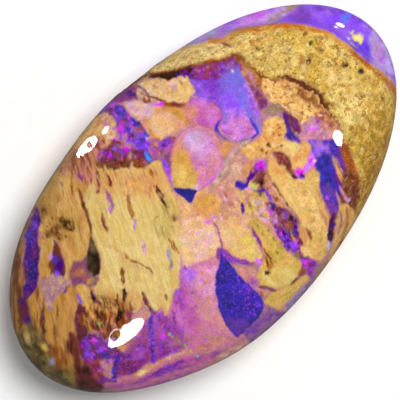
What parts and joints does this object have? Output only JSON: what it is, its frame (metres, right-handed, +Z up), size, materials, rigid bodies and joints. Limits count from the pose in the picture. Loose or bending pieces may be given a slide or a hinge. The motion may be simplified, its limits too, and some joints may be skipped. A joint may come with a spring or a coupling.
{
  "type": "polished boulder opal",
  "caption": "Domed free-form opal stone with pieces of opalised wood, a sandstone band, a lower opal shelf at one end, and a flat ground back to rest on.",
  "frame": {"origin": "on the ground, under the middle of the stone's bounding box", "axes": "+X along the stone towards its sandstone end, +Y across it, +Z up, away from the flat ground back"},
  "size_m": [0.0362, 0.0208, 0.0121],
  "materials": {
    "opal_stone": "high polish over opal and opalised wood, satin on the sandstone"
  },
  "bodies": {
    "root": {"boulder_opal": "opal_stone"}
  },
  "joints": []
}
